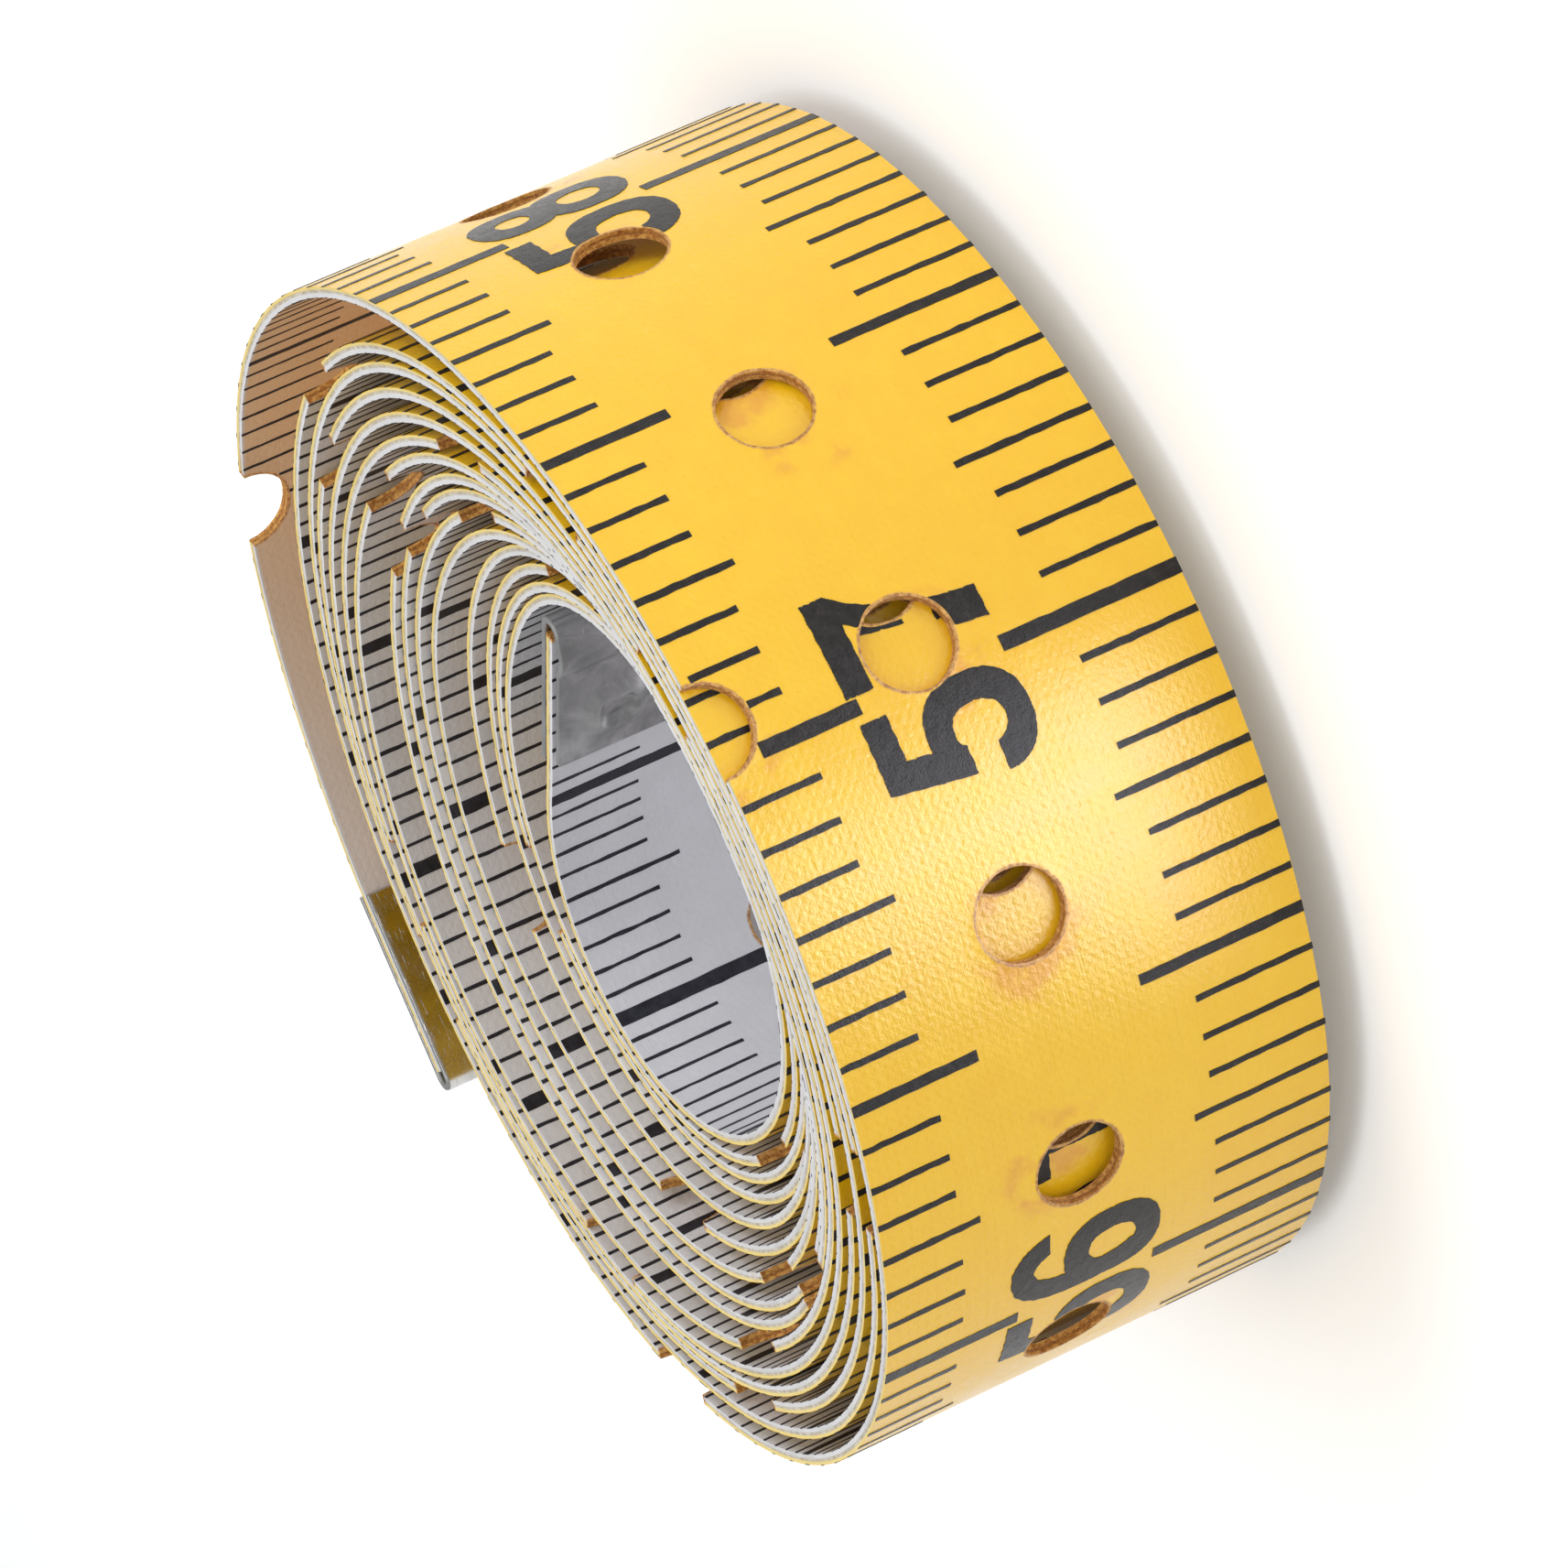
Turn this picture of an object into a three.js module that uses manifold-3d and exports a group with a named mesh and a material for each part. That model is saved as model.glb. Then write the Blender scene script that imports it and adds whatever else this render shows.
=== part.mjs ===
// A rolled cloth tape measure: one 1524 mm ribbon with a metal clip folded over each end.
// Units are millimetres and +Z is up. The ribbon lies in a spiral about the Z axis; its
// numbered edge (the "near" edge) faces up, and the innermost turns hang 1.5 mm lower
// than the outer ones, so the part rests on the far edge of its core.
import * as THREE from 'three';
import { mergeVertices } from 'three/addons/utils/BufferGeometryUtils.js';
import Module from 'manifold-3d';

// ---- driving dimensions -------------------------------------------------------------
const TAPE_LENGTH = 1524.0;     // 60 inches from fold to fold
const TAPE_WIDTH = 18.0;
const TAPE_THICKNESS = 0.40;    // pressed cloth, one coat on each side
const HOLE_RADIUS = 1.68;       // row of holes along the ribbon and half-holes on its edge
const HOLE_FACET = 1.77;        // corner radius of an eight-sided hole of the same area
const HOLE_PITCH = 10.0;
const HOLE_FIRST = 9.1;         // first hole from the zero end
const HOLE_INSET = 7.9;         // hole centre to the near edge
const NOTCH_PITCH = 50.0;
const NOTCH_FIRST = 49.1;
const CLIP_LENGTH = 8.0;
const CLIP_SHEET = 0.30;
const CLIP_GAP = 0.08;          // clearance between clip leaf and ribbon
const CORE_DROP = 1.50;         // how far the innermost turns sit below the outer ones
const END_STRAIGHT = 8.6;       // the ribbon is straight inside each clip
const JOINT_GAP = 0.30;         // gap between two lengths that move
const SEAM_GAP = 0.10;          // gap between two lengths that don't
const ORIGIN_X = -0.348;        // centre of the box around the part, in spiral coordinates
const ORIGIN_Y = 4.138;

// Spiral centre line: distance from POLE every STEP_DEG degrees, from the folded zero
// end outwards, one row a turn.
const POLE = [-0.35, -0.30];
const GRID_DEG = 150.0;         // bearing of the first distance in the table
const START_DEG = 168.0;
const END_DEG = 5688.9;
const STEP_DEG = 15.0;
const RADII = [
  14.80, 10.11, 7.40, 6.16, 5.62, 5.52, 5.82, 6.60, 7.68, 8.77, 9.65, 10.24, 10.54, 10.64, 10.69, 10.75, 10.86, 11.02, 11.19, 11.33, 11.45, 11.53, 11.56, 11.44,
  11.05, 10.43, 9.71, 9.10, 8.75, 8.69, 8.88, 9.23, 9.68, 10.15, 10.59, 10.95, 11.20, 11.37, 11.50, 11.62, 11.71, 11.77, 11.81, 11.87, 11.94, 12.02, 12.06, 11.93,
  11.55, 10.94, 10.26, 9.69, 9.34, 9.24, 9.39, 9.73, 10.18, 10.65, 11.10, 11.50, 11.83, 12.07, 12.21, 12.27, 12.29, 12.29, 12.31, 12.36, 12.43, 12.51, 12.55, 12.43,
  12.11, 11.61, 11.03, 10.48, 10.08, 9.90, 9.97, 10.25, 10.68, 11.15, 11.60, 12.00, 12.36, 12.66, 12.90, 13.03, 13.07, 13.02, 12.96, 12.93, 12.94, 13.00, 13.05, 13.00,
  12.79, 12.40, 11.89, 11.40, 11.07, 10.96, 11.08, 11.41, 11.89, 12.46, 13.02, 13.48, 13.77, 13.85, 13.81, 13.70, 13.59, 13.51, 13.46, 13.42, 13.43, 13.49, 13.54, 13.49,
  13.30, 13.04, 12.80, 12.67, 12.74, 13.05, 13.53, 14.10, 14.63, 14.99, 15.13, 15.11, 15.01, 14.89, 14.75, 14.59, 14.40, 14.20, 14.04, 13.94, 13.92, 13.97, 14.04, 14.07,
  14.03, 13.89, 13.68, 13.51, 13.50, 13.70, 14.09, 14.60, 15.15, 15.65, 16.04, 16.22, 16.19, 15.98, 15.66, 15.30, 14.96, 14.70, 14.53, 14.43, 14.41, 14.46, 14.58, 14.73,
  14.80, 14.74, 14.56, 14.34, 14.20, 14.27, 14.59, 15.09, 15.64, 16.15, 16.55, 16.80, 16.90, 16.85, 16.67, 16.36, 15.97, 15.54, 15.18, 14.96, 14.90, 14.95, 15.07, 15.24,
  15.40, 15.41, 15.20, 14.89, 14.69, 14.76, 15.09, 15.59, 16.14, 16.64, 17.05, 17.35, 17.52, 17.52, 17.32, 16.95, 16.49, 16.03, 15.67, 15.45, 15.39, 15.44, 15.56, 15.73,
  15.90, 16.02, 16.12, 16.28, 16.60, 17.15, 17.93, 18.79, 19.54, 20.00, 20.09, 19.85, 19.36, 18.74, 18.11, 17.53, 17.04, 16.65, 16.33, 16.09, 15.94, 15.93, 16.05, 16.23,
  16.40, 16.57, 16.80, 17.11, 17.55, 18.13, 18.85, 19.62, 20.33, 20.83, 21.04, 20.93, 20.54, 19.89, 19.10, 18.34, 17.70, 17.22, 16.86, 16.60, 16.44, 16.42, 16.53, 16.74,
  17.02, 17.34, 17.68, 18.06, 18.53, 19.11, 19.76, 20.43, 21.01, 21.39, 21.53, 21.42, 21.05, 20.49, 19.83, 19.15, 18.52, 17.95, 17.48, 17.13, 16.93, 16.90, 17.04, 17.34,
  17.75, 18.18, 18.61, 19.03, 19.49, 19.99, 20.53, 21.07, 21.54, 21.88, 22.03, 21.91, 21.56, 21.08, 20.54, 19.96, 19.35, 18.74, 18.18, 17.72, 17.44, 17.38, 17.55, 17.94,
  18.50, 19.08, 19.58, 19.98, 20.34, 20.71, 21.13, 21.58, 22.03, 22.38, 22.56, 22.56, 22.38, 22.03, 21.55, 20.95, 20.27, 19.55, 18.86, 18.29, 17.95, 17.87, 18.04, 18.44,
  18.99, 19.62, 20.28, 20.88, 21.44, 21.92, 22.34, 22.68, 22.99, 23.22, 23.39, 23.44, 23.34, 23.05, 22.55, 21.87, 21.07, 20.23, 19.43, 18.78, 18.39, 18.30, 18.47, 18.90,
  19.67, 20.76, 22.04, 23.46, 25.00, 26.33, 27.00, 27.00, 26.96, 27.40, 28.38
];

// Level of each turn: how far it sits below the outer turns, by the turn count from outside.
const DROP_TURN = [0, 5.6, 6, 6.5, 7, 8, 9, 10, 11, 12, 16];
const DROP_MM = [0, 0, 0.02, 0.08, 0.17, 0.40, 0.66, 0.95, 1.22, CORE_DROP, CORE_DROP];

// Ribbon stations (mm from the zero end) where one length ends and the next begins.
const ZERO_END_TO = 14.1;
const ZERO_LINK_TO = 24.1;
const CORE_TO = 344.1;
const MIDDLE_TO = 714.1;
const OUTER_TO = 1464.1;
const TAIL_LINKS = [1464.1, 1474.1, 1484.1, 1494.1, 1504.1];

// ---- centre line ----------------------------------------------------------------------
function splineSecondDerivatives(y) {
  // natural cubic spline on an even grid with unit spacing
  const n = y.length, m = new Array(n).fill(0), c = new Array(n).fill(0), d = new Array(n).fill(0);
  for (let i = 1; i < n - 1; i++) {
    const w = 4 - c[i - 1];
    c[i] = 1 / w;
    d[i] = (6 * (y[i - 1] - 2 * y[i] + y[i + 1]) - d[i - 1]) / w;
  }
  for (let i = n - 2; i > 0; i--) m[i] = d[i] - c[i] * m[i + 1];
  return m;
}
const BEND = splineSecondDerivatives(RADII);
function radiusAt(deg) {
  const u = (deg - GRID_DEG) / STEP_DEG;
  const i = Math.min(Math.max(Math.floor(u), 0), RADII.length - 2);
  const b = u - i, a = 1 - b;
  return a * RADII[i] + b * RADII[i + 1] + ((a * a * a - a) * BEND[i] + (b * b * b - b) * BEND[i + 1]) / 6;
}
const DENSE = 11087;
const path = [];
for (let i = 0; i < DENSE; i++) {
  const deg = START_DEG + (END_DEG - START_DEG) * i / (DENSE - 1);
  const r = radiusAt(deg), t = (deg + 180) * Math.PI / 180;
  path.push({ deg, x: POLE[0] + r * Math.cos(t), y: POLE[1] + r * Math.sin(t), s: 0 });
}
for (let i = 1; i < DENSE; i++) {
  path[i].s = path[i - 1].s + Math.hypot(path[i].x - path[i - 1].x, path[i].y - path[i - 1].y);
}
const stretch = TAPE_LENGTH / path[DENSE - 1].s;
for (const p of path) p.s *= stretch;
function onPath(s) {
  let lo = 0, hi = DENSE - 1;
  while (hi - lo > 1) { const mid = (lo + hi) >> 1; if (path[mid].s <= s) lo = mid; else hi = mid; }
  const a = path[lo], b = path[hi], f = Math.min(Math.max((s - a.s) / (b.s - a.s), 0), 1);
  return { x: a.x + f * (b.x - a.x), y: a.y + f * (b.y - a.y), deg: a.deg + f * (b.deg - a.deg) };
}
function straight(s, s0, s1) {
  const a = onPath(s0), b = onPath(s1), f = (s - s0) / (s1 - s0);
  return { x: a.x + f * (b.x - a.x), y: a.y + f * (b.y - a.y), deg: a.deg + f * (b.deg - a.deg) };
}
function point(s) {
  if (s < END_STRAIGHT) return straight(s, 0, END_STRAIGHT);
  if (s > TAPE_LENGTH - END_STRAIGHT) return straight(s, TAPE_LENGTH - END_STRAIGHT, TAPE_LENGTH);
  return onPath(s);
}
function normal(s) {
  // outward: to the right of the direction of travel
  const a = point(Math.max(s - 0.5, 0)), b = point(Math.min(s + 0.5, TAPE_LENGTH));
  const l = Math.hypot(b.x - a.x, b.y - a.y);
  return { x: (b.y - a.y) / l, y: -(b.x - a.x) / l };
}
function drop(s) {
  const turn = 15 - (point(s).deg - 180) / 360;
  for (let i = 1; i < DROP_TURN.length; i++) {
    if (turn <= DROP_TURN[i]) {
      const f = Math.max(0, (turn - DROP_TURN[i - 1]) / (DROP_TURN[i] - DROP_TURN[i - 1]));
      return DROP_MM[i - 1] + f * (DROP_MM[i] - DROP_MM[i - 1]);
    }
  }
  return CORE_DROP;
}

// ---- solids ---------------------------------------------------------------------------
const wasm = await Module();
wasm.setup();
function toManifold(geometry) {
  const g = geometry.index ? geometry.toNonIndexed() : geometry.clone();
  g.deleteAttribute('normal');
  g.deleteAttribute('uv');
  const m = mergeVertices(g, 1e-5);
  return new wasm.Manifold(new wasm.Mesh({
    numProp: 3,
    vertProperties: new Float32Array(m.attributes.position.array),
    triVerts: new Uint32Array(m.index.array),
  }));
}
function toGeometry(solid) {
  const mesh = solid.getMesh();
  const g = new THREE.BufferGeometry();
  const pos = new Float32Array(mesh.numVert * 3);
  for (let i = 0; i < mesh.numVert; i++) {
    for (let k = 0; k < 3; k++) pos[3 * i + k] = mesh.vertProperties[i * mesh.numProp + k];
  }
  g.setAttribute('position', new THREE.BufferAttribute(pos, 3));
  g.setIndex(new THREE.BufferAttribute(new Uint32Array(mesh.triVerts), 1));
  g.computeVertexNormals();
  return g;
}
function extrude(points, height) {
  const shape = new THREE.Shape(points.map((p) => new THREE.Vector2(p.x, p.y)));
  return new THREE.ExtrudeGeometry(shape, { depth: height, bevelEnabled: false, steps: 1 });
}
function facetLength(s) {
  const turn = 15 - (point(s).deg - 180) / 360;
  if (turn < -0.2) return 3.4;
  return point(s).deg > 2200 ? 2.5 : 2.0;
}
function offset(s, v) {
  const p = point(s), n = normal(s);
  return { x: p.x + v * n.x, y: p.y + v * n.y };
}
function ribbon(from, to) {
  // a length of ribbon: its section swept as straight facets, with its holes and half-holes cut out
  const stations = [];
  const n = Math.max(1, Math.round((to - from) / facetLength((from + to) / 2)));
  for (let i = 0; i <= n; i++) stations.push(from + (to - from) * i / n);
  const h = TAPE_THICKNESS / 2;
  const outline = stations.map((s) => offset(s, h)).concat(stations.slice().reverse().map((s) => offset(s, -h)));
  let solid = toManifold(extrude(outline, TAPE_WIDTH));
  const cut = (s, z) => {
    const g = new THREE.CylinderGeometry(HOLE_FACET, HOLE_FACET, 3, 8, 1);
    g.rotateY(Math.PI / 8);
    const nrm = normal(s), p = point(s);
    g.applyQuaternion(new THREE.Quaternion().setFromUnitVectors(new THREE.Vector3(0, 1, 0), new THREE.Vector3(nrm.x, nrm.y, 0)));
    g.translate(p.x, p.y, z);
    solid = solid.subtract(toManifold(g));
  };
  for (let s = HOLE_FIRST; s < to; s += HOLE_PITCH) {
    if (s > from && s > CLIP_LENGTH && s < TAPE_LENGTH - CLIP_LENGTH) cut(s, TAPE_WIDTH - HOLE_INSET);
  }
  for (let s = NOTCH_FIRST; s < to; s += NOTCH_PITCH) {
    if (s > from && s < TAPE_LENGTH - CLIP_LENGTH) cut(s, TAPE_WIDTH);
  }
  return toGeometry(solid);
}
function clip(fold, open, outerStand, innerStand) {
  // a strip of sheet folded over the ribbon's end: two flat leaves and a round fold.
  // Stations run from the fold to the open end; the stand-offs are at the open end.
  const a = TAPE_THICKNESS / 2 + CLIP_GAP, b = a + CLIP_SHEET;
  const p = point(fold), q = point(open);
  const l = Math.hypot(q.x - p.x, q.y - p.y), u = { x: (q.x - p.x) / l, y: (q.y - p.y) / l };
  const n = normal((fold + open) / 2);
  const at = (along, v) => ({ x: p.x + along * u.x + v * n.x, y: p.y + along * u.y + v * n.y });
  const arc = (r, k) => { const t = Math.PI * k / 8; return at(b - r * Math.sin(t), r * Math.cos(t)); };
  const pts = [];
  pts.push(at(l, b + outerStand));
  for (let k = 0; k <= 8; k++) pts.push(arc(b, k));
  pts.push(at(l, -b - innerStand));
  pts.push(at(l, -a - innerStand));
  for (let k = 8; k >= 0; k--) pts.push(arc(a, k));
  pts.push(at(l, a + outerStand));
  let area = 0;
  for (let i = 0; i < pts.length; i++) {
    const c = pts[i], d = pts[(i + 1) % pts.length];
    area += c.x * d.y - d.x * c.y;
  }
  if (area < 0) pts.reverse();
  return toGeometry(toManifold(extrude(pts, TAPE_WIDTH)));
}

// ---- assembly -------------------------------------------------------------------------
const tapeMaterial = () => new THREE.MeshStandardMaterial({ color: 0xf2c02a, roughness: 0.38, metalness: 0.0 });
const steelMaterial = () => new THREE.MeshStandardMaterial({ color: 0xa9a9ab, roughness: 0.32, metalness: 1.0 });
const part = new THREE.Group();
part.position.set(-ORIGIN_X, -ORIGIN_Y, 0);
const bodies = {};
function body(name) {
  if (!bodies[name]) { bodies[name] = new THREE.Group(); part.add(bodies[name]); }
  return bodies[name];
}
function add(bodyName, name, geometry, material, level) {
  const mesh = new THREE.Mesh(geometry, material);
  mesh.name = name;
  mesh.position.z = level;
  body(bodyName).add(mesh);
}
const level = (s) => Math.round((CORE_DROP - drop(s)) * 100) / 100;
const two = (k) => String(k).padStart(2, '0');

function lengths(bodyName, prefix, from, to, module) {
  // whole pitches in each length, so that every cut falls midway between two holes
  const pitches = Math.round((to - from) / HOLE_PITCH);
  const count = Math.round(pitches / module);
  let s = from;
  for (let k = 1; k <= count; k++) {
    const e = from + HOLE_PITCH * Math.round(pitches * k / count);
    const g0 = (k === 1 ? JOINT_GAP : SEAM_GAP) / 2, g1 = (k === count ? JOINT_GAP : SEAM_GAP) / 2;
    add(bodyName, prefix + two(k), ribbon(s + g0, e - g1), tapeMaterial(), level((s + e) / 2));
    s = e;
  }
}
add('zero_end', 'inner_end_clip', clip(0, CLIP_LENGTH, 0, 0.22), steelMaterial(), level(4));
add('zero_end', 'tape_zero_end', ribbon(0.7, ZERO_END_TO - JOINT_GAP / 2), tapeMaterial(), level(8));
add('zero_link', 'tape_zero_link', ribbon(ZERO_END_TO + JOINT_GAP / 2, ZERO_LINK_TO - JOINT_GAP / 2), tapeMaterial(), level(18));
lengths('core', 'tape_core_', ZERO_LINK_TO, CORE_TO, 2);
lengths('middle', 'tape_middle_', CORE_TO, MIDDLE_TO, 3);
lengths('outer', 'tape_outer_', MIDDLE_TO, OUTER_TO, 3.6);
for (let i = 0; i < TAIL_LINKS.length; i++) {
  const last = i === TAIL_LINKS.length - 1;
  const to = last ? TAPE_LENGTH - 0.7 : TAIL_LINKS[i + 1] - JOINT_GAP / 2;
  add('tail_' + (i + 1), 'tape_tail_' + (i + 1), ribbon(TAIL_LINKS[i] + JOINT_GAP / 2, to), tapeMaterial(), level(TAIL_LINKS[i] + 5));
}
add('tail_5', 'outer_end_clip', clip(TAPE_LENGTH, TAPE_LENGTH - CLIP_LENGTH, 0, 0), steelMaterial(), level(1520));

export default part;
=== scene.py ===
import math

import bpy
import numpy as np
from mathutils import Matrix, Vector


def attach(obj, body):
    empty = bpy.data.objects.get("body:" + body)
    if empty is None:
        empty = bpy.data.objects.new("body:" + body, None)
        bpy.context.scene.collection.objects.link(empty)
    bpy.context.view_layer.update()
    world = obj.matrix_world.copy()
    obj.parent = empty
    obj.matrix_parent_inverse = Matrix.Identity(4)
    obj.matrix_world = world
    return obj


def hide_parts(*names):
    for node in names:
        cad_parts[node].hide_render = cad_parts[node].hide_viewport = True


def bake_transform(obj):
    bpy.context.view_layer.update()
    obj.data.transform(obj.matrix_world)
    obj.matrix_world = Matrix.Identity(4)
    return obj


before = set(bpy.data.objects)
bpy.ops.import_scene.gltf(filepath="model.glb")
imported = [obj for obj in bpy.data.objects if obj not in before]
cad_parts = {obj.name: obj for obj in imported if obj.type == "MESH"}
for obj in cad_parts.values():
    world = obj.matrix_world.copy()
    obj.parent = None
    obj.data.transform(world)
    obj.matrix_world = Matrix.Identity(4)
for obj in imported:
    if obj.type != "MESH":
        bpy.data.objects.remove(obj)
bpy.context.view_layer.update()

MM = 0.001

# ---- driving sizes ---------------------------------------------------------------------
LENGTH, WIDTH = 1524.0, 18.0
HALF = 0.205                      # half of the ribbon's thickness, coats included
HOLE_R, HOLE_W, HOLE_FIRST = 1.68, 7.9, 9.1
NOTCH_FIRST, NOTCH_PITCH = 49.1, 50.0
CORE_DROP, END_STRAIGHT = 1.5, 8.6
S_FIRST, S_LAST = 0.7, 1523.3     # the cloth stops short of the two folds
POLE, SHIFT = (-0.35, -0.30), (0.348, -4.138)
GRID_DEG, START_DEG, END_DEG, STEP_DEG = 150.0, 168.0, 5688.9, 15.0
RADII = [  # distance of the centre line from POLE, every STEP_DEG degrees from GRID_DEG, from the zero end outwards
    14.80, 10.11, 7.40, 6.16, 5.62, 5.52, 5.82, 6.60, 7.68, 8.77, 9.65, 10.24, 10.54, 10.64, 10.69, 10.75, 10.86, 11.02, 11.19, 11.33, 11.45, 11.53, 11.56, 11.44,
    11.05, 10.43, 9.71, 9.10, 8.75, 8.69, 8.88, 9.23, 9.68, 10.15, 10.59, 10.95, 11.20, 11.37, 11.50, 11.62, 11.71, 11.77, 11.81, 11.87, 11.94, 12.02, 12.06, 11.93,
    11.55, 10.94, 10.26, 9.69, 9.34, 9.24, 9.39, 9.73, 10.18, 10.65, 11.10, 11.50, 11.83, 12.07, 12.21, 12.27, 12.29, 12.29, 12.31, 12.36, 12.43, 12.51, 12.55, 12.43,
    12.11, 11.61, 11.03, 10.48, 10.08, 9.90, 9.97, 10.25, 10.68, 11.15, 11.60, 12.00, 12.36, 12.66, 12.90, 13.03, 13.07, 13.02, 12.96, 12.93, 12.94, 13.00, 13.05, 13.00,
    12.79, 12.40, 11.89, 11.40, 11.07, 10.96, 11.08, 11.41, 11.89, 12.46, 13.02, 13.48, 13.77, 13.85, 13.81, 13.70, 13.59, 13.51, 13.46, 13.42, 13.43, 13.49, 13.54, 13.49,
    13.30, 13.04, 12.80, 12.67, 12.74, 13.05, 13.53, 14.10, 14.63, 14.99, 15.13, 15.11, 15.01, 14.89, 14.75, 14.59, 14.40, 14.20, 14.04, 13.94, 13.92, 13.97, 14.04, 14.07,
    14.03, 13.89, 13.68, 13.51, 13.50, 13.70, 14.09, 14.60, 15.15, 15.65, 16.04, 16.22, 16.19, 15.98, 15.66, 15.30, 14.96, 14.70, 14.53, 14.43, 14.41, 14.46, 14.58, 14.73,
    14.80, 14.74, 14.56, 14.34, 14.20, 14.27, 14.59, 15.09, 15.64, 16.15, 16.55, 16.80, 16.90, 16.85, 16.67, 16.36, 15.97, 15.54, 15.18, 14.96, 14.90, 14.95, 15.07, 15.24,
    15.40, 15.41, 15.20, 14.89, 14.69, 14.76, 15.09, 15.59, 16.14, 16.64, 17.05, 17.35, 17.52, 17.52, 17.32, 16.95, 16.49, 16.03, 15.67, 15.45, 15.39, 15.44, 15.56, 15.73,
    15.90, 16.02, 16.12, 16.28, 16.60, 17.15, 17.93, 18.79, 19.54, 20.00, 20.09, 19.85, 19.36, 18.74, 18.11, 17.53, 17.04, 16.65, 16.33, 16.09, 15.94, 15.93, 16.05, 16.23,
    16.40, 16.57, 16.80, 17.11, 17.55, 18.13, 18.85, 19.62, 20.33, 20.83, 21.04, 20.93, 20.54, 19.89, 19.10, 18.34, 17.70, 17.22, 16.86, 16.60, 16.44, 16.42, 16.53, 16.74,
    17.02, 17.34, 17.68, 18.06, 18.53, 19.11, 19.76, 20.43, 21.01, 21.39, 21.53, 21.42, 21.05, 20.49, 19.83, 19.15, 18.52, 17.95, 17.48, 17.13, 16.93, 16.90, 17.04, 17.34,
    17.75, 18.18, 18.61, 19.03, 19.49, 19.99, 20.53, 21.07, 21.54, 21.88, 22.03, 21.91, 21.56, 21.08, 20.54, 19.96, 19.35, 18.74, 18.18, 17.72, 17.44, 17.38, 17.55, 17.94,
    18.50, 19.08, 19.58, 19.98, 20.34, 20.71, 21.13, 21.58, 22.03, 22.38, 22.56, 22.56, 22.38, 22.03, 21.55, 20.95, 20.27, 19.55, 18.86, 18.29, 17.95, 17.87, 18.04, 18.44,
    18.99, 19.62, 20.28, 20.88, 21.44, 21.92, 22.34, 22.68, 22.99, 23.22, 23.39, 23.44, 23.34, 23.05, 22.55, 21.87, 21.07, 20.23, 19.43, 18.78, 18.39, 18.30, 18.47, 18.90,
    19.67, 20.76, 22.04, 23.46, 25.00, 26.33, 27.00, 27.00, 26.96, 27.40, 28.38
]
DROP_TURN = [0, 5.6, 6, 6.5, 7, 8, 9, 10, 11, 12, 16]
DROP_MM = [0, 0, 0.02, 0.08, 0.17, 0.40, 0.66, 0.95, 1.22, CORE_DROP, CORE_DROP]


# ---- the centre line -------------------------------------------------------------------
def centre_line():
    y = np.array(RADII, float)
    n = len(y)
    m, c, d = np.zeros(n), np.zeros(n), np.zeros(n)
    for i in range(1, n - 1):
        k = 4 - c[i - 1]
        c[i] = 1 / k
        d[i] = (6 * (y[i - 1] - 2 * y[i] + y[i + 1]) - d[i - 1]) / k
    for i in range(n - 2, 0, -1):
        m[i] = d[i] - c[i] * m[i + 1]
    deg = np.linspace(START_DEG, END_DEG, 11087)
    t = (deg - GRID_DEG) / STEP_DEG
    i = np.clip(t.astype(int), 0, n - 2)
    b = t - i
    a = 1 - b
    r = a * y[i] + b * y[i + 1] + ((a**3 - a) * m[i] + (b**3 - b) * m[i + 1]) / 6
    ang = np.radians(deg + 180)
    x, z = POLE[0] + r * np.cos(ang) + SHIFT[0], POLE[1] + r * np.sin(ang) + SHIFT[1]
    s = np.r_[0, np.cumsum(np.hypot(np.diff(x), np.diff(z)))]
    s *= LENGTH / s[-1]
    return s, x, z, deg


_S, _X, _Y, _DEG = centre_line()
GRID = np.arange(0, LENGTH + 0.025, 0.05)
GX, GY = np.interp(GRID, _S, _X), np.interp(GRID, _S, _Y)
for lo, hi in ((0.0, END_STRAIGHT), (LENGTH - END_STRAIGHT, LENGTH)):
    k = (GRID >= lo) & (GRID <= hi)
    for g, src in ((GX, _X), (GY, _Y)):
        g[k] = np.interp(GRID[k], [lo, hi], np.interp([lo, hi], _S, src))
_reach = 8
TX = np.gradient(GX)
TY = np.gradient(GY)
_box = np.ones(_reach) / _reach
TX, TY = (np.convolve(np.pad(v, _reach, mode="edge"), _box, "same")[_reach:-_reach] for v in (TX, TY))
_len = np.hypot(TX, TY)
TX, TY = TX / _len, TY / _len
GZ = CORE_DROP - np.interp(15 - (np.interp(GRID, _S, _DEG) - 180) / 360, DROP_TURN, DROP_MM)
# the turns aren't wound perfectly level
GZ = GZ + 0.090 + 0.035 * np.sin(GRID / 17.3 + 0.7) + 0.025 * np.sin(GRID / 6.1 + 2.1) * np.cos(GRID / 41.0)


def place(s, w, n):
    """Points in metres for ribbon places given in millimetres."""
    s = np.asarray(s, float)
    x, y = np.interp(s, GRID, GX), np.interp(s, GRID, GY)
    tx, ty = np.interp(s, GRID, TX), np.interp(s, GRID, TY)
    z = np.interp(s, GRID, GZ)
    return np.stack([x + ty * n, y - tx * n, z + WIDTH - w], -1) * MM


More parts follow.
